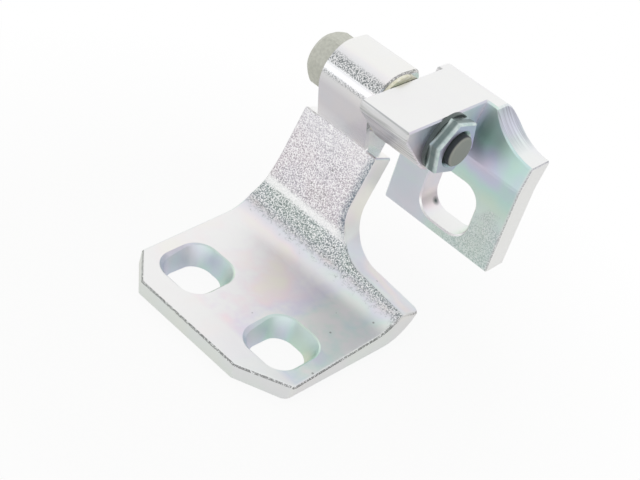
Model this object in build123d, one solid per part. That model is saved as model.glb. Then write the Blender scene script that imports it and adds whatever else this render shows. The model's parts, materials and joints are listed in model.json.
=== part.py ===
# Car door hinge: a forged pillar leaf and a forged door leaf on one shouldered hinge pin.
#
# Row frame: X runs along the hinge pin towards its nut, Y runs from the pillar leaf's free edge
# towards the door leaf, and Z is up. The origin lies on the pillar leaf's mounting face, halfway
# between its two adjusting holes. All sizes are millimetres.
#
# The hinge stands part open, as photographed. Side views are drawn in the Y-Z plane and
# carried along X, so each leaf keeps one constant section that is then cut to outline.
import os
from math import atan, atan2, cos, degrees, hypot, radians, sin, sqrt, tan

from build123d import *

# pillar leaf: plate
plateWide = 52.0
plateFrontGauge = 4.0
plateRise = 0.08
frontToHoles = 14.0
leftChamferAlong = 8.2
leftChamferBack = 7.1
rightChamferAlong = 12.5
rightChamferBack = 6.4

# adjusting holes: rounded squares, two in the pillar leaf and one in the door leaf; the pillar
# leaf's two draw in to a smaller foot on the mounting face
holeWide = 15.0
holeLong = 15.2
holeCorner = 5.2
holeFootWide = 10.6
holeFootLong = 12.4
holeFootCorner = 4.2
holeSpacing = 28.5

# pillar leaf: bend and neck
frontToBend = 42.4
neckAngle = 74.0
insideBend = 12.5
outsideBend = 12.0
neckGauge = 7.2
neckRun = 28.7
neckLeftInset = 1.5
neckLeftBlend = 13.0
neckWide = 23.9
notchCorner = 12.2
notchAboveFoot = 3.7
notchFall = 1.1

# knuckle on the pillar leaf
pinBeyondCrease = 4.19
pinAboveCrease = 12.42
eyeRadius = 8.3
knuckleInset = 5.7
knuckleLong = 16.5
knuckleFlat = 4.1
knuckleBackCorner = 3.0
knuckleEndBevel = 0.6
rootDepth = 1.5

# door leaf, in its own upright section about the pin
doorTurn = 2.9
doorTopAbovePin = 6.7
noseReach = 15.4
noseDeep = 2.5
doorGauge = 7.2
webFromPin = 13.6
webLean = 13.9
webDrop = 13.6
padDrop = 38.1
padWide = 33.8
padInset = 1.1
blockLong = 14.6
sweepRadius = 19.3
sweepFall = 7.2
doorTopRound = 3.4
doorHoleFromEnd = 10.4
doorHoleOff = 0.3

# hinge pin, bush, washer and nut
headAcross = 13.0
headTall = 6.6
headTrimRadius = 7.2
headRimAlong = 1.9
headRimIn = 1.6
headTurn = 20.0
shoulderRadius = 5.0
threadRadius = 4.0
pinProud = 1.5
pinTipBevel = 0.5
bushWall = 1.0
bushFlange = 0.8
bushFlangeRadius = 8.0
washerThick = 1.0
washerRadius = 7.4
nutAcross = 13.0
nutThick = 3.0
nutTurn = 15.0
nutEdgeBevel = 0.35
nutMouth = 0.9

# fits and small edges
runningGap = 0.03
threadGap = 0.05
washerGap = 0.2
endPlay = 0.1
edgeRound = 0.6
bendTipRound = 2.6
holeEdgeRound = 0.4
blockEdgeBevel = 0.4

# places that follow from the sizes above
frontY = -frontToHoles
leftX = -plateWide / 2
knuckleLeftX = leftX + knuckleInset
knuckleRightX = knuckleLeftX + knuckleLong
blockLeftX = knuckleRightX + bushFlange + endPlay
blockRightX = blockLeftX + blockLong
padLeftX = blockLeftX - padInset
padRightX = padLeftX + padWide
doorHoleBelowPin = padDrop - doorTopAbovePin - doorHoleFromEnd
bendZ = plateFrontGauge + plateRise * frontToBend
notchDepth = neckRun - notchAboveFoot
neckDirection = (cos(radians(neckAngle)), sin(radians(neckAngle)))
neckNormal = (sin(radians(neckAngle)), -cos(radians(neckAngle)))
creaseY = frontY + frontToBend + neckRun * neckDirection[0]
creaseZ = bendZ + neckRun * neckDirection[1]
pinY = creaseY + pinBeyondCrease
pinZ = creaseZ + pinAboveCrease
neckBackY = creaseY + neckGauge * neckNormal[0]
neckBackZ = creaseZ + neckGauge * neckNormal[1]


def sideFace(points):
    # a closed face in the Y-Z plane from a list of (y, z) corners
    return make_face(Plane.YZ * Polyline(*points, close=True))


def alongX(face, x0, x1):
    return Pos(x0, 0, 0) * extrude(face, amount=x1 - x0, dir=(1, 0, 0))


def holeMouth(wide, long, corner):
    # the broken edge round a hole's mouth, local z out of the face: it starts well inside the hole
    deep = 3 * holeEdgeRound
    less = deep - holeEdgeRound
    small = RectangleRounded(wide - 2 * less, long - 2 * less, corner - less)
    return Pos(0, 0, -deep) * extrude(small, amount=deep + holeEdgeRound, taper=-45)


def pillarHole():
    # from the small foot on the mounting face out to the wide mouth on the plate's sloping top,
    # its straight walls carried on past the top by the same draw
    holeTop = plateFrontGauge + plateRise * frontToHoles
    onTop = Pos(0, 0, holeTop) * Rot(degrees(atan(plateRise)), 0, 0)
    past = 1.3
    foot = RectangleRounded(holeFootWide, holeFootLong, holeFootCorner)
    above = RectangleRounded(
        holeFootWide + past * (holeWide - holeFootWide),
        holeFootLong + past * (holeLong - holeFootLong),
        holeFootCorner + past * (holeCorner - holeFootCorner),
    )
    hole = loft([foot, Pos(0, 0, past * holeTop) * above], ruled=True)
    hole += onTop * holeMouth(holeWide, holeLong, holeCorner)
    hole += Rot(180, 0, 0) * holeMouth(holeFootWide, holeFootLong, holeFootCorner)
    return hole


def leafSection():
    # wedge plate, wide bend and steep neck as one outline, the bend rounded inside and out
    footY = neckBackY - neckBackZ / tan(radians(neckAngle))
    outline = sideFace([
        (frontY, 0),
        (footY, 0),
        (neckBackY, neckBackZ),
        (creaseY, creaseZ),
        (frontY + frontToBend, bendZ),
        (frontY, plateFrontGauge),
    ])
    corners = outline.vertices()
    outer = corners.sort_by_distance((0, footY, 0))[0]
    outline = fillet(outer, outsideBend)
    inner = outline.vertices().sort_by_distance((0, frontY + frontToBend, bendZ))[0]
    return fillet(inner, insideBend)


def neckPlane():
    # local x along the pin, local y down the neck from its top crease
    return Plane(
        origin=(0, creaseY, creaseZ),
        x_dir=(1, 0, 0),
        z_dir=(0, neckNormal[0], neckNormal[1]),
    )


def notchCutter():
    # the right side of the neck: straight down, round a wide corner, then out to the plate's edge
    edgeX = leftX + neckLeftInset + neckWide
    farX = plateWide / 2 + 4
    fallAtFar = notchDepth + notchFall * (farX - edgeX - notchCorner) / (plateWide / 2 - edgeX - notchCorner)
    centre = (edgeX + notchCorner, notchDepth - notchCorner)
    middle = (centre[0] - notchCorner * cos(radians(45)), centre[1] + notchCorner * sin(radians(45)))
    outline = Polyline((centre[0], notchDepth), (farX, fallAtFar), (farX, -12), (edgeX, -12), (edgeX, centre[1]))
    corner = ThreePointArc((edgeX, centre[1]), middle, (centre[0], notchDepth))
    face = make_face(neckPlane() * (outline + corner))
    return extrude(face, amount=30, both=True)


def leftCutter():
    # the left side of the neck stands slightly in from the plate's edge
    edgeX = leftX + neckLeftInset
    low = notchDepth + 1.5
    outline = Polyline((leftX, low), (leftX - 5, low), (leftX - 5, -12), (edgeX, -12), (edgeX, neckLeftBlend))
    sweep = ThreePointArc(
        (edgeX, neckLeftBlend),
        (edgeX - 0.3 * neckLeftInset, (neckLeftBlend + low) / 2),
        (leftX, low),
    )
    face = make_face(neckPlane() * (outline + sweep))
    return extrude(face, amount=30, both=True)


def knuckleSection():
    # front face tangent to the eye, round nose, flat top, square-set back over the neck's back
    dy = creaseY - pinY
    dz = creaseZ - pinZ
    far = hypot(dy, dz)
    reach = sqrt(far ** 2 - eyeRadius ** 2)
    towards = atan2(-dz, -dy) + atan2(eyeRadius, reach)
    touch = (creaseY + reach * cos(towards), creaseZ + reach * sin(towards))
    top = (pinY, pinZ + eyeRadius)
    start = atan2(touch[1] - pinZ, touch[0] - pinY)
    if start < 0:
        start += radians(360)
    half = (start + radians(90)) / 2
    noseMiddle = (pinY + eyeRadius * cos(half), pinZ + eyeRadius * sin(half))
    flatEnd = (pinY + knuckleFlat, pinZ + eyeRadius)
    backY = pinY + knuckleFlat + knuckleBackCorner
    cornerMiddle = (
        flatEnd[0] + knuckleBackCorner * sin(radians(45)),
        flatEnd[1] - knuckleBackCorner * (1 - cos(radians(45))),
    )
    backTop = (backY, flatEnd[1] - knuckleBackCorner)
    backFoot = (backY, neckBackZ + (backY - neckBackY) * tan(radians(neckAngle)))
    edges = Line((creaseY, creaseZ), touch)
    edges += ThreePointArc(touch, noseMiddle, top)
    edges += Line(top, flatEnd)
    edges += ThreePointArc(flatEnd, cornerMiddle, backTop)
    downY = rootDepth * neckDirection[0]
    downZ = rootDepth * neckDirection[1]
    edges += Polyline(
        backTop,
        backFoot,
        (neckBackY - downY, neckBackZ - downZ),
        (creaseY - downY, creaseZ - downZ),
        (creaseY, creaseZ),
    )
    return make_face(Plane.YZ * edges)


def plateCorners():
    # the two free corners are cut off square to the plate
    leftCut = Polyline(
        (leftX - 1, frontY - 1),
        (leftX - 1, frontY + leftChamferBack * (1 + 1 / leftChamferAlong)),
        (leftX + leftChamferAlong * (1 + 1 / leftChamferBack), frontY - 1),
        close=True,
    )
    rightX = -leftX
    rightCut = Polyline(
        (rightX + 1, frontY - 1),
        (rightX + 1, frontY + rightChamferBack * (1 + 1 / rightChamferAlong)),
        (rightX - rightChamferAlong * (1 + 1 / rightChamferBack), frontY - 1),
        close=True,
    )
    both = make_face(leftCut) + make_face(rightCut)
    return Pos(0, 0, -5) * extrude(both, amount=30)


def pillarLeaf():
    leaf = alongX(leafSection(), leftX, -leftX)
    tip = leaf.edges().filter_by(GeomType.CIRCLE).sort_by_distance((-leftX, neckBackY, 0))[0]
    leaf = fillet(tip, bendTipRound)
    leaf -= notchCutter()
    leaf -= leftCutter()
    leaf -= plateCorners()
    leaf = fillet(leaf.edges(), edgeRound)
    knuckle = alongX(knuckleSection(), knuckleLeftX, knuckleRightX)
    endEdges = knuckle.edges().filter_by_position(Axis.X, knuckleRightX - 0.01, knuckleRightX + 0.01)
    endEdges = endEdges.filter_by(lambda e: e.center().Z > (creaseZ + neckBackZ) / 2 + 1)
    knuckle = chamfer(endEdges, knuckleEndBevel)
    leaf += knuckle
    bore = Pos(knuckleLeftX - 5, pinY, pinZ) * Rot(0, 90, 0) * Cylinder(
        shoulderRadius + bushWall, knuckleLong + 10, align=(Align.CENTER, Align.CENTER, Align.MIN)
    )
    leaf -= bore
    for side in (-1, 1):
        leaf -= Pos(side * holeSpacing / 2, 0, 0) * pillarHole()
    return leaf


def doorBlockSection():
    # flat top, short nose face, underside slanting back to a round eye, then across to the web
    slantFrom = (-noseReach, doorTopAbovePin - noseDeep)
    far = hypot(*slantFrom)
    reach = sqrt(far ** 2 - eyeRadius ** 2)
    towards = atan2(-slantFrom[1], -slantFrom[0]) - atan2(eyeRadius, reach)
    touch = (slantFrom[0] + reach * cos(towards), slantFrom[1] + reach * sin(towards))
    leave = radians(-55)
    start = atan2(touch[1], touch[0])
    middle = ((start + leave) / 2)
    arc = ThreePointArc(
        touch,
        (eyeRadius * cos(middle), eyeRadius * sin(middle)),
        (eyeRadius * cos(leave), eyeRadius * sin(leave)),
    )
    inWeb = webFromPin + 1.0
    edges = Polyline((-noseReach, doorTopAbovePin), slantFrom, touch) + arc
    edges += Polyline(
        (eyeRadius * cos(leave), eyeRadius * sin(leave)),
        (inWeb, -3.0),
        (inWeb, doorTopAbovePin),
        (-noseReach, doorTopAbovePin),
    )
    return make_face(Plane.YZ * edges)


def webPoints():
    # inner and outer corners of the leaning web and the upright pad below it
    lean = tan(radians(webLean))
    padIn = webFromPin - webDrop * lean
    padOut = padIn + doorGauge
    outerTop = webFromPin + doorGauge / cos(radians(webLean))
    outerCrease = doorTopAbovePin - (outerTop - padOut) / lean
    return padIn, padOut, outerTop, outerCrease


def doorWebSection():
    padIn, padOut, outerTop, outerCrease = webPoints()
    low = doorTopAbovePin - padDrop
    face = sideFace([
        (webFromPin, doorTopAbovePin),
        (padIn, doorTopAbovePin - webDrop),
        (padIn, low),
        (padOut, low),
        (padOut, outerCrease),
        (outerTop, doorTopAbovePin),
    ])
    corner = face.vertices().sort_by_distance((0, outerTop, doorTopAbovePin))[0]
    return fillet(corner, doorTopRound)


def doorLeafUpright():
    # built about the pin axis with its top level
    block = alongX(doorBlockSection(), blockLeftX, blockRightX)
    block = chamfer(block.edges().filter_by(Axis.X, reverse=True), blockEdgeBevel)
    noseEdge = block.edges().filter_by(Axis.X).sort_by_distance((0, -noseReach, doorTopAbovePin))[0]
    block = fillet(noseEdge, edgeRound)
    web = alongX(doorWebSection(), padLeftX, padRightX)
    sweepX = padRightX + 0.2
    sweepZ = doorTopAbovePin - sweepFall + sweepRadius
    web -= Pos(sweepX, 0, sweepZ) * Rot(90, 0, 0) * Cylinder(sweepRadius, 80)
    web -= Pos(sweepX + 10, 0, sweepZ - sweepRadius / 2) * Box(20 - 0.01, 80, sweepRadius)
    web = chamfer(web.edges(), blockEdgeBevel)
    leaf = block + web
    bore = Pos(blockLeftX - 5, 0, 0) * Rot(0, 90, 0) * Cylinder(
        threadRadius + threadGap, blockLong + 10, align=(Align.CENTER, Align.CENTER, Align.MIN)
    )
    leaf -= bore
    holeX = (padLeftX + padRightX) / 2 + doorHoleOff
    hole = extrude(RectangleRounded(holeWide, holeLong, holeCorner), amount=40, both=True)
    mouth = holeMouth(holeWide, holeLong, holeCorner)
    leaf -= Pos(holeX, 0, -doorHoleBelowPin) * Rot(90, 0, 0) * hole
    padIn, padOut = webPoints()[:2]
    leaf -= Pos(holeX, padIn, -doorHoleBelowPin) * Rot(90, 0, 0) * mouth
    leaf -= Pos(holeX, padOut, -doorHoleBelowPin) * Rot(-90, 0, 0) * mouth
    return leaf


def atPin(shape):
    return Pos(0, pinY, pinZ) * Rot(doorTurn, 0, 0) * shape


def rodX(radius, x0, x1):
    return Pos(x0, 0, 0) * Rot(0, 90, 0) * Cylinder(
        radius, x1 - x0, align=(Align.CENTER, Align.CENTER, Align.MIN)
    )


def hexX(across, x0, x1, turn):
    prism = extrude(RegularPolygon(across / 2, 6, major_radius=False), amount=x1 - x0)
    return Pos(x0, 0, 0) * Rot(turn, 0, 0) * Rot(0, 90, 0) * prism


def hingePin():
    # hexagon head with its corners and rim turned away, plain shoulder through the knuckle,
    # threaded end through the block
    headRight = knuckleLeftX - endPlay
    headLeft = headRight - headTall
    endX = blockRightX + washerThick + nutThick + pinProud
    trim = rodX(headTrimRadius, headLeft, headRight)
    rim = trim.edges().filter_by_position(Axis.X, headLeft - 0.01, headLeft + 0.01)
    trim = chamfer(rim, headRimAlong, headRimIn)
    head = hexX(headAcross, headLeft, headRight, headTurn) & trim
    shoulder = rodX(shoulderRadius, headRight, blockLeftX)
    thread = rodX(threadRadius, blockLeftX, endX)
    tip = thread.edges().filter_by_position(Axis.X, endX - 0.01, endX + 0.01)
    thread = chamfer(tip, pinTipBevel)
    return head + shoulder + thread


def knuckleBush():
    # pressed into the knuckle, its thin flange keeping the two leaves apart
    tube = rodX(shoulderRadius + bushWall, knuckleLeftX, knuckleRightX)
    tube += rodX(bushFlangeRadius, knuckleRightX, knuckleRightX + bushFlange)
    tube -= rodX(shoulderRadius + runningGap, knuckleLeftX - 1, knuckleRightX + bushFlange + 1)
    return tube


def pinWasher():
    left = blockRightX
    ring = rodX(washerRadius, left, left + washerThick)
    return ring - rodX(threadRadius + washerGap, left - 1, left + washerThick + 1)


def pinNut():
    # thin hexagon nut, its outer edges bevelled and its thread mouth countersunk
    left = blockRightX + washerThick
    right = left + nutThick
    nut = hexX(nutAcross, left, right, nutTurn)
    rim = nut.edges().filter_by_position(Axis.X, right - 0.01, right + 0.01)
    nut = chamfer(rim, nutEdgeBevel)
    nut -= rodX(threadRadius + threadGap, left - 1, right + 1)
    sink = Pos(right + 0.01, 0, 0) * Rot(0, -90, 0) * Cone(
        threadRadius + nutMouth, threadRadius, nutMouth, align=(Align.CENTER, Align.CENTER, Align.MIN)
    )
    return nut - sink


def main():
    os.makedirs("parts", exist_ok=True)
    pieces = {
        "pillar_leaf": pillarLeaf(),
        "door_leaf": atPin(doorLeafUpright()),
        "hinge_pin": atPin(hingePin()),
        "knuckle_bush": Pos(0, pinY, pinZ) * knuckleBush(),
        "pin_washer": atPin(pinWasher()),
        "pin_nut": atPin(pinNut()),
    }
    for name, shape in pieces.items():
        solids = shape.solids()
        piece = solids[0] if len(solids) == 1 else shape
        box = piece.bounding_box()
        print(name, len(solids), "solid", round(piece.volume, 1), "mm3", box.min, box.max)
        export_step(piece, "parts/" + name + ".step")


main()
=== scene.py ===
import json

import bpy
import numpy as np
from mathutils import Matrix, Vector

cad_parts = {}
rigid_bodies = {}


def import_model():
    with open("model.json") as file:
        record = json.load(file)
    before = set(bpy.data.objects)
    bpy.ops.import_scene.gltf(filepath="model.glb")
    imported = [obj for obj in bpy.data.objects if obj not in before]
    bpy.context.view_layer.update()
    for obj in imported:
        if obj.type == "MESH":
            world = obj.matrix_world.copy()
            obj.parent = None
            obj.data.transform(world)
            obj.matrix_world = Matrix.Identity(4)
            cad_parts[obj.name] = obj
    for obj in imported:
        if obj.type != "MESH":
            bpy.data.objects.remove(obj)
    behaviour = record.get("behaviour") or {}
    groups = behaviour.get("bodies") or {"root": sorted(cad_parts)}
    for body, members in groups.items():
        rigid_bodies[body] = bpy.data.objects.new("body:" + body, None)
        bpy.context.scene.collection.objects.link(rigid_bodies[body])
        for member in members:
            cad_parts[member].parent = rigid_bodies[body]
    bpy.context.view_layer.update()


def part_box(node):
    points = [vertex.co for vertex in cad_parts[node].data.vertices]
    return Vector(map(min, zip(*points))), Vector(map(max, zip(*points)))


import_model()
print("frame loaded")

# places read from the frame, in metres
nutLow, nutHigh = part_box("pin_nut")
washerLow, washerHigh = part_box("pin_washer")
pinAxis = (0, (washerLow[1] + washerHigh[1]) / 2, (washerLow[2] + washerHigh[2]) / 2)
washerRadius = (washerHigh[1] - washerLow[1]) / 2
hingeTall = 0.060   # ramps by height run from 0 to 1 over this
hingeHalf = 0.030   # and ramps across run from 0 to 1 over twice this, along the pin


def linear(hexColour):
    # sRGB hex to the linear values that the shader takes
    parts = [int(hexColour[i:i + 2], 16) / 255 for i in (0, 2, 4)]
    return [p / 12.92 if p <= 0.04045 else ((p + 0.055) / 1.055) ** 2.4 for p in parts] + [1.0]


def addNode(tree, kind, settings=None, **links):
    # one node: settings are its properties, sockets or ramp stops, links are its sockets' sources
    node = tree.nodes.new("ShaderNode" + kind)
    for name, value in (settings or {}).items():
        if name == "stops":
            elements = node.color_ramp.elements
            while len(elements) < len(value):
                elements.new(0.5)
            for element, (place, tone) in zip(elements, value):
                element.position = place
                element.color = linear(tone) if isinstance(tone, str) else (tone, tone, tone, 1)
        elif isinstance(name, int) or name in node.inputs:
            node.inputs[name].default_value = value
        else:
            setattr(node, name, value)
    for name, source in links.items():
        key = int(name[1:]) if name[0] == "i" and name[1:].isdigit() else name.replace("_", " ")
        tree.links.new(source, node.inputs[key])
    return node


def newMaterial(name):
    material = bpy.data.materials.new(name)
    material.use_nodes = True
    tree = material.node_tree
    return material, tree, tree.nodes["Principled BSDF"]


def dress(name, material):
    for piece in bpy.data.objects:
        if piece.type == "MESH" and piece.name.split(".")[0] == name:
            piece.data.materials.clear()
            piece.data.materials.append(material)


def addReadings(tree):
    # what the masks go by: a point's place in metres, and which way its face looks
    coordinates = addNode(tree, "TexCoord")
    place = coordinates.outputs["Object"]
    axis = addNode(tree, "SeparateXYZ", Vector=place)
    face = addNode(tree, "SeparateXYZ", Vector=coordinates.outputs["Normal"])
    sideways = addNode(tree, "Math", {"operation": "ABSOLUTE"}, i0=face.outputs["X"])
    reads = {"place": place, "sideways": sideways.outputs[0]}
    for letter in "XYZ":
        reads[letter.lower()] = axis.outputs[letter]
        reads["face" + letter] = face.outputs[letter]
    return reads


def addMask(tree, reads, area):
    # an area is a list of sets of steps. A step goes from 0 to 1, or between two shares of its own, while
    # a reading goes from one value to another. A set's steps are multiplied, and the strongest set counts
    mask = None
    for steps in area:
        patch = None
        for reading, start, end, *shares in steps:
            least, most = shares or (0.0, 1.0)
            limits = {"From Min": start, "From Max": end, "To Min": least, "To Max": most}
            step = addNode(tree, "MapRange", limits, Value=reads[reading]).outputs["Result"]
            if patch is not None:
                step = addNode(tree, "Math", {"operation": "MULTIPLY"}, i0=patch, i1=step).outputs[0]
            patch = step
        if mask is not None:
            patch = addNode(tree, "Math", {"operation": "MAXIMUM"}, i0=mask, i1=patch).outputs[0]
        mask = patch
    return mask


def addMarks(tree, reads, colour, marks):
    # each mark, a colour and an area, is laid over what is there
    for tone, area in marks:
        mask = addMask(tree, reads, area)
        colour = addNode(tree, "Mix", {"data_type": "RGBA", 7: linear(tone)}, i0=mask, i6=colour).outputs[2]
    return colour


# zinc plate: steel forgings barrel plated bright, then dipped in a clear passivation whose thin
# film shows faint interference colours, stronger on the upright faces where it drained slowly
zinc = {
    "film": [(0.0, "F6F0D0"), (0.20, "CFF0D2"), (0.40, "C0ECE2"), (0.55, "CFD8F2"), (0.68, "DBD2EE"),
             (0.82, "F6DCE6"), (1.0, "F7F0DA")],   # by thickness
    "cloudSize": 0.009,      # the film's thickness drifts over about a centimetre
    "turnThickness": 0.2,    # how much thicker it is on a face that looks along the pin
    "patchesPerMetre": 110.0,   # on level faces it shows in patches of about 9 mm
    "patches": ("patch", 0.42, 0.60, 0.15, 1.3),
    "levelFaces": (0.995, 0.80),
    "grainSize": 0.00034,    # shot marks of 0.1 to 0.2 mm, drawn coarser so that they show
    "grainDepth": 0.00016,
    "grainTintAndPaintedLightShare": 0.6,
    "fleckColour": "FFFFFF",
    "flecks": ("grain", 0.50, 0.58),
    "pitColour": "465555",
    "pits": ("grain", 0.52, 0.39),
    "grainRoughness": 0.30,
    "peelSize": 0.0022,      # the slight unevenness of a pressed and plated face
    "peelDepth": 0.000012,
}


def addFilm(tree, reads, leaf):
    # the film's colour and share: its thickness follows the height, the way a face looks and a slow drift
    cloud = addNode(tree, "TexNoise", {"Scale": 1 / zinc["cloudSize"], "Detail": 1.5, "Roughness": 0.45},
                    Vector=reads["place"])
    drift = addNode(tree, "Math", {"operation": "MULTIPLY_ADD", 1: leaf["drift"], 2: -leaf["drift"] / 2},
                    i0=cloud.outputs["Fac"])
    thick = addNode(tree, "ValToRGB", {"stops": leaf["thickness"]}, Fac=reads["height"]).outputs["Color"]
    extra = addNode(tree, "ValToRGB", {"stops": leaf["extraThickness"]}, Fac=reads["across"]).outputs["Color"]
    if "extraFaces" in leaf:
        facing = addMask(tree, reads, [leaf["extraFaces"]])
        extra = addNode(tree, "Math", {"operation": "MULTIPLY"}, i0=extra, i1=facing).outputs[0]
    turned = addNode(tree, "Math", {"operation": "MULTIPLY", 1: zinc["turnThickness"]}, i0=reads["faceX"])
    for more in (drift.outputs[0], turned.outputs[0], extra):
        thick = addNode(tree, "Math", {"operation": "ADD"}, i0=thick, i1=more).outputs[0]
    colour = addNode(tree, "ValToRGB", {"stops": zinc["film"]}, Fac=thick).outputs["Color"]

    patch = addNode(tree, "TexNoise", {"Scale": zinc["patchesPerMetre"], "Detail": 3.0, "Roughness": 0.6},
                    Vector=reads["place"])
    reads["patch"] = patch.outputs["Fac"]
    patches = addMask(tree, reads, [[zinc["patches"]]])
    level = addNode(tree, "ValToRGB", {"stops": leaf["levelShare"]}, Fac=reads["across"]).outputs["Color"]
    level = addNode(tree, "Math", {"operation": "MULTIPLY"}, i0=level, i1=patches).outputs[0]
    start, end = zinc["levelFaces"]
    upright = addNode(tree, "MapRange", {"From Min": start, "From Max": end}, Value=reads["faceZ"],
                      To_Min=level).outputs["Result"]
    share = addNode(tree, "ValToRGB", {"stops": leaf["filmShare"]}, Fac=reads["height"]).outputs["Color"]
    share = addNode(tree, "Math", {"operation": "MULTIPLY"}, i0=upright, i1=share).outputs[0]
    for amount, steps in leaf["wiped"]:
        mask = addMask(tree, reads, [steps])
        kept = addNode(tree, "Math", {"operation": "MULTIPLY_ADD", 1: -amount, 2: 1.0}, i0=mask).outputs[0]
        share = addNode(tree, "Math", {"operation": "MULTIPLY"}, i0=share, i1=kept).outputs[0]
    return colour, share


def addGrain(tree, reads, colour, mask, leaf):
    # the grain of the shot blasting under the plate: a tint, bright flecks and dark pits. The tint and the
    # pits' share follow a leaf's ramps by height, which on the pillar also paint shade and a highlight line
    tint = addNode(tree, "ValToRGB", {"stops": leaf["grainTintAndPaintedLight"]}, Fac=reads["height"]).outputs["Color"]
    deep = addNode(tree, "ValToRGB", {"stops": leaf["pitShareAndPaintedLight"]}, Fac=reads["height"]).outputs["Color"]
    tinted = addNode(tree, "Math", {"operation": "MULTIPLY", 1: zinc["grainTintAndPaintedLightShare"]}, i0=mask).outputs[0]
    colour = addNode(tree, "Mix", {"data_type": "RGBA"}, i0=tinted, i6=colour, i7=tint).outputs[2]
    flecks = addMask(tree, reads, [[zinc["flecks"]]])
    pits = addMask(tree, reads, [[zinc["pits"]]])
    pits = addNode(tree, "Math", {"operation": "MULTIPLY"}, i0=pits, i1=deep).outputs[0]
    for tone, spots in ((zinc["fleckColour"], flecks), (zinc["pitColour"], pits)):
        spots = addNode(tree, "Math", {"operation": "MULTIPLY"}, i0=spots, i1=mask).outputs[0]
        colour = addNode(tree, "Mix", {"data_type": "RGBA", 7: linear(tone)}, i0=spots, i6=colour).outputs[2]
    return colour


def zincMaterial(name, leaf):
    material, tree, shader = newMaterial(name)
    reads = addReadings(tree)
    place = reads["place"]
    reads["height"] = addNode(tree, "MapRange", {"From Max": hingeTall}, Value=reads["z"]).outputs["Result"]
    reads["across"] = addNode(tree, "MapRange", {"From Min": -hingeHalf, "From Max": hingeHalf},
                              Value=reads["x"]).outputs["Result"]
    # the height with a ragged noise on it, for where the blasting ends
    ragged = addNode(tree, "TexNoise", {"Scale": leaf["raggedPerMetre"], "Detail": 2.0}, Vector=place)
    band = leaf["raggedBand"]
    edge = addNode(tree, "Math", {"operation": "MULTIPLY_ADD", 1: band, 2: -band / 2},
                   i0=ragged.outputs["Fac"]).outputs[0]
    reads["raggedZ"] = addNode(tree, "Math", {"operation": "ADD"}, i0=reads["z"], i1=edge).outputs[0]
    grain = addNode(tree, "TexNoise", {"Scale": 1 / zinc["grainSize"], "Detail": 2.0, "Roughness": 0.65},
                    Vector=place)
    reads["grain"] = grain.outputs["Fac"]
    leaf["addOwnReadings"](tree, reads)

    film, share = addFilm(tree, reads, leaf)
    bare = addNode(tree, "ValToRGB", {"stops": leaf["bare"]}, Fac=reads["height"]).outputs["Color"]
    colour = addNode(tree, "Mix", {"data_type": "RGBA"}, i0=share, i6=bare, i7=film).outputs[2]
    # the grain's area; on the pillar it also holds the bend and the knuckle's two stripes, whose darker grain
    # is painted shade
    blastedAndShaded = addMask(tree, reads, leaf["blastedAndShaded"])
    colour = addGrain(tree, reads, colour, blastedAndShaded, leaf)
    colour = addMarks(tree, reads, colour, leaf["marks"])
    tree.links.new(colour, shader.inputs["Base Color"])
    shader.inputs["Metallic"].default_value = 1.0
    smooth = addNode(tree, "ValToRGB", {"stops": leaf["roughness"]}, Fac=reads["height"]).outputs["Color"]
    rough = addNode(tree, "MapRange", {"To Max": zinc["grainRoughness"]}, Value=blastedAndShaded, To_Min=smooth)
    tree.links.new(rough.outputs["Result"], shader.inputs["Roughness"])
    peel = addNode(tree, "TexNoise", {"Scale": 1 / zinc["peelSize"], "Detail": 2.0}, Vector=place)
    even = addNode(tree, "Bump", {"Strength": 1.0, "Distance": zinc["peelDepth"]}, Height=peel.outputs["Fac"])
    depth = addNode(tree, "Math", {"operation": "MULTIPLY"}, i0=reads["grain"], i1=blastedAndShaded)
    bump = addNode(tree, "Bump", {"Strength": 1.0, "Distance": zinc["grainDepth"]}, Height=depth.outputs[0],
                   Normal=even.outputs["Normal"])
    tree.links.new(bump.outputs["Normal"], shader.inputs["Normal"])
    return material


def addPillarReadings(tree, reads):
    # how far a point is from the centre of the neck's cut-away arc, measured straight across above it
    centreX, centreZ = pillar["cutCentre"]
    across = addNode(tree, "Math", {"operation": "SUBTRACT", 1: centreX}, i0=reads["x"])
    down = addNode(tree, "Math", {"operation": "SUBTRACT", 1: centreZ}, i0=reads["z"])
    down = addNode(tree, "Math", {"operation": "MINIMUM", 1: 0.0}, i0=down.outputs[0])
    offset = addNode(tree, "CombineXYZ", i0=across.outputs[0], i1=down.outputs[0])
    away = addNode(tree, "VectorMath", {"operation": "LENGTH"}, i0=offset.outputs[0])
    reads["fromCut"] = away.outputs["Value"]
    stray = addNode(tree, "TexVoronoi", {"Scale": pillar["straysPerMetre"]}, Vector=reads["place"])
    reads["fromStray"] = stray.outputs["Distance"]


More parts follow.
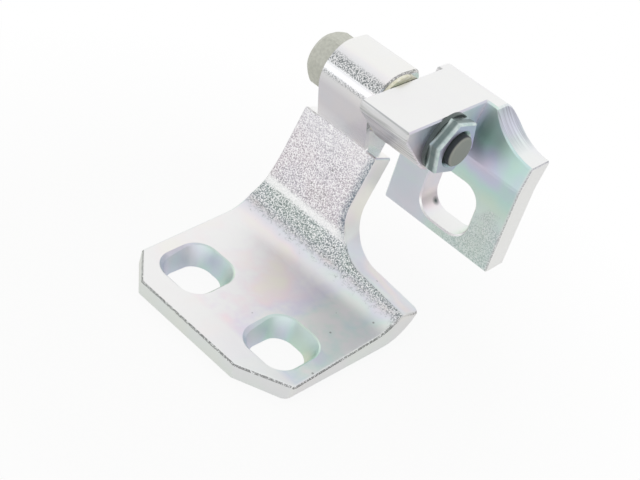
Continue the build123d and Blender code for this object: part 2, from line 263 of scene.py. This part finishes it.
onKnuckle = [("z", 0.040, 0.041)]
lookingAhead = [("faceY", 0.10, -0.10), ("sideways", 0.75, 0.45)]
chamfer = [("faceZ", 0.12, 0.30), ("faceZ", 0.96, 0.86), ("z", 0.0100, 0.0080)]
lineFlecks = [("grain", 0.60, 0.50, 0.0, 0.75)]
pillar = {
    # ramps by height, but for extraThickness and levelShare, which run across
    "bare": [(0.0, "F3F3F2"), (0.225, "F3F3F2"), (0.245, "FBFBFB"), (0.56, "FBFBFB"), (0.60, "F3F3F2"),
             (0.66, "DCDBDE"), (0.76, "DCDBDE"), (0.80, "F3F3F2")],
    "thickness": [(0.0, 0.35), (0.13, 0.38), (0.16, 0.75), (0.18, 0.42), (0.225, 0.40), (0.27, 0.74),
                  (0.60, 0.70)],
    "extraThickness": [(0.0, 0.42), (0.50, 0.42), (0.72, 0.0)],
    "extraFaces": [("faceZ", 0.85, 0.95)],
    "drift": 0.9,
    "levelShare": [(0.0, 0.12), (0.25, 0.45), (0.45, 0.80), (0.80, 0.80), (1.0, 0.90)],
    # the film's share dips near 0.25 so that the painted highlight line between bend and neck stays white
    "filmShare": [(0.0, 0.65), (0.14, 0.34), (0.225, 0.30), (0.245, 0.05), (0.262, 0.05), (0.30, 0.30),
                  (0.50, 0.22), (0.58, 0.18), (0.70, 0.12)],
    "wiped": [   # the sheared outer edges were wiped nearly clear of the film
        (0.8, [("y", -0.0060, -0.0075)]),
        (0.8, [("x", 0.0250, 0.0258)]),
    ],
    # the grain's tint and pits by height: dark teal-grey with many pits low on the bend, painting the dark
    # reflection there; white with few pits from 0.236 to 0.256, a painted highlight line between bend and
    # neck; darker with dense pits on the knuckle, painting its dark stripes
    "grainTintAndPaintedLight": [(0.0, "B4BEBF"), (0.222, "B4BEBF"), (0.236, "FFFFFF"), (0.256, "FFFFFF"),
                  (0.272, "DCCFDA"), (0.45, "E2D6E0"), (0.60, "F0ECF2"), (0.68, "BFC2C4")],
    "pitShareAndPaintedLight": [(0.0, 0.7), (0.225, 0.70), (0.238, 0.15), (0.254, 0.15), (0.268, 0.52), (0.45, 0.46),
                 (0.60, 0.26), (0.68, 0.8)],
    "roughness": [(0.0, 0.40), (0.5, 0.34), (0.70, 0.17)],
    "raggedPerMetre": 900.0,   # the blasting's edge wanders at about every millimetre
    "raggedBand": 0.0036,
    "blastedAndShaded": [   # from half way round the bend up to the neck's top, and in two stripes along the knuckle picked by which way its face looks; the grain there is real, its darker tint and dense pits are painted shade for the dark reflected stripes
        [("raggedZ", 0.0084, 0.0100), ("z", 0.0356, 0.0350)] + lookingAhead,
        [("faceZ", 0.10, 0.14, 0.0, 0.5), ("faceZ", 0.27, 0.22)] + onKnuckle + lookingAhead,
        [("faceZ", 0.43, 0.48), ("faceZ", 0.78, 0.66)] + onKnuckle + lookingAhead,
    ],
    "marks": [
        # a painted dark line with bright flecks along the plate's rounded free edges and round the knuckle's
        # ends, painting the dark reflection and the shade on those edges
        ("5A5C5A", [
            [("y", -0.0060, -0.0070), ("faceY", -0.05, -0.20)] + chamfer + lineFlecks,
            [("x", 0.0250, 0.0254)] + chamfer + lineFlecks,
            [("sideways", 0.25, 0.45, 0.0, 0.8), ("sideways", 0.95, 0.85), ("z", 0.040, 0.042)] + lineFlecks,
        ]),
        # a blue-grey band inside the neck's cut-away edge
        ("56707E", [[("fromCut", 0.0146, 0.0124), ("z", 0.0130, 0.0170), ("z", 0.0356, 0.0340),
                     ("faceY", -0.5, -0.8), ("grain", 0.66, 0.42, 0.25, 0.85)]]),
        # a few stray pits
        ("7A7A78", [[("fromStray", 0.055, 0.035, 0.0, 0.6)]]),
    ],
    "cutCentre": (0.0116, 0.0227),
    "straysPerMetre": 160.0,   # about 6 mm apart
    "addOwnReadings": addPillarReadings,
}


def addDoorReadings(tree, reads):
    # streaks that run with the swept edge, rolled lines along the pin, and how far a point is from the flaw
    for name in ("streak", "rolled"):
        squeeze = addNode(tree, "Mapping", {"Scale": door[name + "PerMetre"]}, Vector=reads["place"])
        lines = addNode(tree, "TexNoise", {"Scale": 1.0, "Detail": 2.0}, Vector=squeeze.outputs["Vector"])
        reads[name] = lines.outputs["Fac"]
    away = addNode(tree, "VectorMath", {"operation": "DISTANCE", 1: door["flawPlace"]}, i0=reads["place"])
    reads["fromFlaw"] = away.outputs["Value"]


bluntFront = [("faceY", -0.3, -0.6), ("x", 0.0120, 0.0115), ("z", 0.0400, 0.0410)]
padRim = [("faceY", -0.6, -0.8), ("grain", 0.58, 0.50, 0.0, 0.8)]
door = {
    "bare": [(0.0, "F3F3F2"), (1.0, "F3F3F2")],
    "thickness": [(0.0, 0.44), (0.45, 0.36), (0.56, 0.31), (0.68, 0.54), (0.80, 0.42)],
    "extraThickness": [(0.0, 0.22), (0.64, 0.20), (0.74, 0.0)],
    "drift": 0.65,
    "levelShare": [(0.0, 0.06), (1.0, 0.06)],
    "filmShare": [(0.0, 0.45), (0.50, 0.38), (0.60, 0.70), (0.80, 0.75), (0.88, 0.5)],
    "wiped": [   # the pad's sheared end was wiped nearly clear of the film, as was the block's blunt front
        (0.85, [("x", 0.0288, 0.0296)]),
        (0.8, bluntFront),
    ],
    "grainTintAndPaintedLight": [(0.0, "C4D0D0"), (1.0, "C4D0D0")],
    "pitShareAndPaintedLight": [(0.0, 0.5), (1.0, 0.5)],
    "roughness": [(0.0, 0.36), (0.85, 0.36), (0.95, 0.25)],
    "raggedPerMetre": 260.0,   # about every 4 mm
    "raggedBand": 0.022,
    "blastedAndShaded": [   # only the lower part of the pad, and lightly
        [("raggedZ", 0.031, 0.026), ("faceY", -0.7, -0.9, 0.0, 0.5), ("x", 0.008, 0.020)],
    ],
    "marks": [
        # shear marks along the swept edge
        ("9A9AA6", [[("faceX", 0.25, 0.45), ("faceZ", 0.20, 0.35), ("x", 0.0145, 0.0155),
                     ("streak", 0.36, 0.60), ("z", 0.040, 0.050, 0.10, 0.55)]]),
        # rolled lines on the block's blunt front
        ("868C88", [bluntFront + [("rolled", 0.56, 0.36, 0.0, 0.5)]]),
        # a painted highlight: the step below the web is painted white where its face looks up and ahead
        ("FFFFFF", [[("faceZ", 0.12, 0.25), ("z", 0.0410, 0.0405), ("faceY", -0.10, -0.30)]]),
        # a painted dark line with bright flecks round the pad's front edge, painting the dark reflection on
        # its rounded edge
        ("4E5A56", [[("x", 0.0293, 0.0295)] + padRim, [("z", 0.0168, 0.0166)] + padRim]),
        # a painted highlight: the pad's sheared end is painted white as the brightest lit face
        ("FFFFFF", [[("x", 0.0296, 0.0297)]]),
        # one dark flaw in the wall of the adjusting hole
        ("36504A", [[("fromFlaw", 0.0014, 0.0002, 0.0, 0.9)]]),
    ],
    "streakPerMetre": (60.0, 2400.0, 60.0),     # 0.4 mm apart and 17 mm long
    "rolledPerMetre": (70.0, 1400.0, 1400.0),   # 0.7 mm apart and 14 mm long
    "flawPlace": (0.0073, 0.0577, 0.0211),
    "addOwnReadings": addDoorReadings,
}
dress("pillar_leaf", zincMaterial("zincPlatePillar", pillar))
dress("door_leaf", zincMaterial("zincPlateDoor", door))
print("zinc plate made")


def smallMetal(name, piece):
    # a small turned or pressed part: two close tones in a fine grain, and its marks
    material, tree, shader = newMaterial(name)
    reads = addReadings(tree)
    grain = addNode(tree, "TexNoise", {"Scale": 1 / piece["grainSize"], "Detail": 3.0}, Vector=reads["place"])
    tone = addNode(tree, "ValToRGB", {"stops": [(0.35, piece["dark"]), (0.65, piece["light"])]},
                   Fac=grain.outputs["Fac"])
    flat = addNode(tree, "CombineXYZ", i1=reads["y"], i2=reads["z"])
    out = addNode(tree, "VectorMath", {"operation": "DISTANCE", 1: pinAxis}, i0=flat.outputs[0])
    reads["fromAxis"] = out.outputs["Value"]
    colour = addMarks(tree, reads, tone.outputs["Color"], piece["marks"])
    tree.links.new(colour, shader.inputs["Base Color"])
    shader.inputs["Metallic"].default_value = piece["metallic"]
    shader.inputs["Roughness"].default_value = piece["roughness"]
    bump = addNode(tree, "Bump", {"Strength": 1.0, "Distance": piece["grainDepth"]},
                   Height=grain.outputs["Fac"])
    tree.links.new(bump.outputs["Normal"], shader.inputs["Normal"])
    return material


def alongNut(share):
    return nutLow[0] + share * (nutHigh[0] - nutLow[0])


# phosphated and oiled steel: dull olive grey with a fine crystal grain
pin = {
    "dark": "C6C7BD", "light": "D4D5CB",
    "metallic": 0.55, "roughness": 0.55,
    "grainSize": 0.0007, "grainDepth": 0.00003,
    "marks": [   # the threaded end is dark round its flank just past the nut, and a lighter grey at its tip
        ("42474A", [[("x", nutHigh[0] - 0.0015, nutHigh[0] - 0.0010)]]),
        ("9FA19A", [[("x", nutHigh[0] + 0.0010, nutHigh[0] + 0.00125)]]),
    ],
}
# rolled bearing bronze under a thin tin flash that lets a little yellow through
bush = {
    "dark": "DCD9C0", "light": "EFEDDE",
    "metallic": 0.9, "roughness": 0.28,
    "grainSize": 0.0009, "grainDepth": 0.00001,
    "marks": [],
}
# black coated spring steel
washer = {
    "dark": "141818", "light": "2C3434",
    "metallic": 0.5, "roughness": 0.42,
    "grainSize": 0.0008, "grainDepth": 0.00004,
    "marks": [   # the coat is rubbed grey at the rim
        ("5E6866", [[("fromAxis", washerRadius - 0.00030, washerRadius - 0.00015)]]),
    ],
}
# zinc plated nut, a little greener than the forgings
nut = {
    "dark": "C4D8D6", "light": "E4F0EE",
    "metallic": 1.0, "roughness": 0.34,
    "grainSize": 0.0016, "grainDepth": 0.00002,
    "marks": [   # a dull band along the middle of each flat, and a violet film on the nut's face
        ("4C6060", [[("x", alongNut(0.12), alongNut(0.30), 0.0, 0.75),
                     ("x", alongNut(0.80), alongNut(0.62))]]),
        ("D6D0E6", [[("faceX", 0.90, 0.98)]]),
    ],
}
dress("hinge_pin", smallMetal("phosphatedSteel", pin))
dress("knuckle_bush", smallMetal("tinnedBearingBronze", bush))
dress("pin_washer", smallMetal("blackCoatedSteel", washer))
dress("pin_nut", smallMetal("zincPlateNut", nut))
print("small metals made")


# studio: a small paper sweep under a light tent, darker past the table's edge and towards the ceiling
studio = {
    "cameraPlace": (0.13080, -0.18949, 0.18956),
    "cameraRight": (0.70106224, 0.65672601, 0.2778897),
    "cameraDown": (0.56969612, -0.28141648, -0.77217297),
    "cameraAhead": (-0.42890333, 0.69965399, -0.57142473),
    "lens": 72.52,
    "sensorWidth": 36.0,
    "floorReach": 0.16,
    "floorCentre": (0, 0.02, 0),
    "floorSides": 96,
    "floorTones": [(0.3, "EDEDEB"), (0.7, "F2F2F0")],
    "floorRoughness": 0.8,
    "fibresPerMetre": 900.0,   # about 1 mm, coarser than paper so that they show
    "floorGlow": "E5E5E3",   # what metal sees of the paper
    "glowShare": 0.85,
    "whiteShare": (0.06, 0.13, 0.88, 1.0),   # how white the camera sees the floor, from near to far
    # the tent's brightness, by how far up a direction looks, from 0 straight down to 1 straight up
    "frontSky": [(0.30, 0.50), (0.41, 0.52), (0.465, 1.20), (0.60, 1.20), (0.65, 0.86), (0.705, 0.70),
                 (0.77, 0.63), (0.825, 0.63), (0.875, 0.74), (0.93, 0.94), (1.0, 1.0)],
    "backSky": [(0.30, 0.75), (0.48, 0.98), (0.66, 0.98), (0.83, 0.98), (1.0, 1.0)],
    "rightSky": [(0.30, 0.70), (0.50, 0.50), (0.68, 0.58), (0.80, 0.92)],
    "rightFrom": (0.25, 0.55),
    "backFrom": (-0.25, 0.35),
}


def makeCamera():
    data = bpy.data.cameras.new("camera")
    data.lens = studio["lens"]
    data.sensor_width = studio["sensorWidth"]
    data.sensor_fit = "HORIZONTAL"
    camera = bpy.data.objects.new("camera", data)
    bpy.context.scene.collection.objects.link(camera)
    right, down, ahead = (Vector(studio["camera" + way]) for way in ("Right", "Down", "Ahead"))
    turn = Matrix((right, -down, -ahead)).transposed()
    camera.matrix_world = Matrix.Translation(studio["cameraPlace"]) @ turn.to_4x4()
    bpy.context.scene.camera = camera


def makeFloor():
    # a flat disc under the hinge: its rim is the angle round it in equal steps
    turn = np.linspace(0, 2 * np.pi, studio["floorSides"], endpoint=False)
    rim = np.stack([np.cos(turn), np.sin(turn), np.zeros_like(turn)], 1) * studio["floorReach"]
    rim = rim + studio["floorCentre"]
    mesh = bpy.data.meshes.new("floor")
    mesh.from_pydata(rim.tolist(), [], [tuple(range(len(rim)))])
    floor = bpy.data.objects.new("floor", mesh)
    bpy.context.scene.collection.objects.link(floor)

    material, tree, shader = newMaterial("paperFloor")
    place = addNode(tree, "TexCoord").outputs["Object"]
    fibre = addNode(tree, "TexNoise", {"Scale": studio["fibresPerMetre"]}, Vector=place)
    tone = addNode(tree, "ValToRGB", {"stops": studio["floorTones"]}, Fac=fibre.outputs["Fac"])
    tree.links.new(tone.outputs["Color"], shader.inputs["Base Color"])
    shader.inputs["Roughness"].default_value = studio["floorRoughness"]
    ray = addNode(tree, "LightPath")
    glow = addNode(tree, "Emission", {"Color": linear(studio["floorGlow"]), "Strength": 1.0})
    glossy = addNode(tree, "Math", {"operation": "MULTIPLY", 1: studio["glowShare"]},
                     i0=ray.outputs["Is Glossy Ray"])
    paper = addNode(tree, "MixShader", i0=glossy.outputs[0], i1=shader.outputs[0], i2=glow.outputs[0])
    white = addNode(tree, "Emission", {"Color": (1, 1, 1, 1), "Strength": 1.0})
    away = addNode(tree, "VectorMath", {"operation": "LENGTH"}, i0=place)
    fade = addMask(tree, {"away": away.outputs["Value"]}, [[("away", *studio["whiteShare"])]])
    share = addNode(tree, "Math", {"operation": "MULTIPLY"}, i0=ray.outputs["Is Camera Ray"], i1=fade)
    mixed = addNode(tree, "MixShader", i0=share.outputs[0], i1=paper.outputs[0], i2=white.outputs[0])
    tree.links.new(mixed.outputs[0], tree.nodes["Material Output"].inputs["Surface"])
    mesh.materials.append(material)


def makeWorld():
    # the tent is bright behind, dimmer to the right and banded in front, and plain white to the camera
    world = bpy.data.worlds.new("tent")
    world.use_nodes = True
    tree = world.node_tree
    tree.nodes.clear()
    axis = addNode(tree, "SeparateXYZ", Vector=addNode(tree, "TexCoord").outputs["Generated"])
    up = addNode(tree, "MapRange", {"From Min": -1.0, "From Max": 1.0}, Value=axis.outputs["Z"])
    front, back, right = (addNode(tree, "ValToRGB", {"stops": studio[side]}, Fac=up.outputs["Result"])
                          for side in ("frontSky", "backSky", "rightSky"))
    towardRight, towardBack = ({"interpolation_type": "SMOOTHSTEP", "From Min": start, "From Max": end}
                               for start, end in (studio["rightFrom"], studio["backFrom"]))
    aside = addNode(tree, "MapRange", towardRight, Value=axis.outputs["X"])
    depth = addNode(tree, "MapRange", towardBack, Value=axis.outputs["Y"])
    behind = addNode(tree, "Mix", {"data_type": "RGBA"}, i0=aside.outputs["Result"], i6=back.outputs["Color"],
                     i7=right.outputs["Color"])
    sky = addNode(tree, "Mix", {"data_type": "RGBA"}, i0=depth.outputs["Result"], i6=front.outputs["Color"],
                  i7=behind.outputs[2]).outputs[2]
    tent = addNode(tree, "Background", Color=sky)
    white = addNode(tree, "Background", {"Color": (1, 1, 1, 1), "Strength": 1.0})
    ray = addNode(tree, "LightPath")
    both = addNode(tree, "MixShader", i0=ray.outputs["Is Camera Ray"], i1=tent.outputs[0],
                   i2=white.outputs[0])
    output = addNode(tree, "OutputWorld")
    tree.links.new(both.outputs[0], output.inputs["Surface"])
    bpy.context.scene.world = world


makeCamera()
makeFloor()
makeWorld()
bpy.context.scene.view_settings.view_transform = "Standard"
print("studio made")
